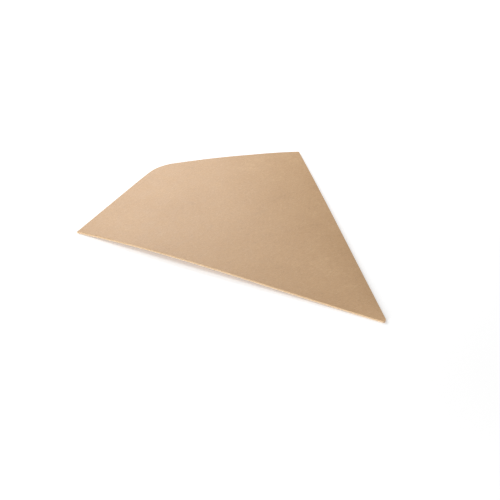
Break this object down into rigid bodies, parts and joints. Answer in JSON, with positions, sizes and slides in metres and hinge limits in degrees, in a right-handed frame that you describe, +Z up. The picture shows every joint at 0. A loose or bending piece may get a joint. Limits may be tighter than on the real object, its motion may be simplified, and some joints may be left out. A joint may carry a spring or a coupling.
{
  "type": "paper fry cone",
  "caption": "Flat-folded takeaway fry cone of brown kraft board: kite outline, plain fold on one side, glued seam on the other, open at the mouth.",
  "frame": {"origin": "on the underside of the back ply, in the middle of the folded cone's length and width", "axes": "+Z up through the two plies, +Y from the tip to the mouth, +X towards the glued seam"},
  "size_m": [0.2034, 0.266, 0.0041],
  "materials": {
    "kraft_board": "matte"
  },
  "bodies": {
    "root": {"fry_cone": "kraft_board"}
  },
  "joints": []
}
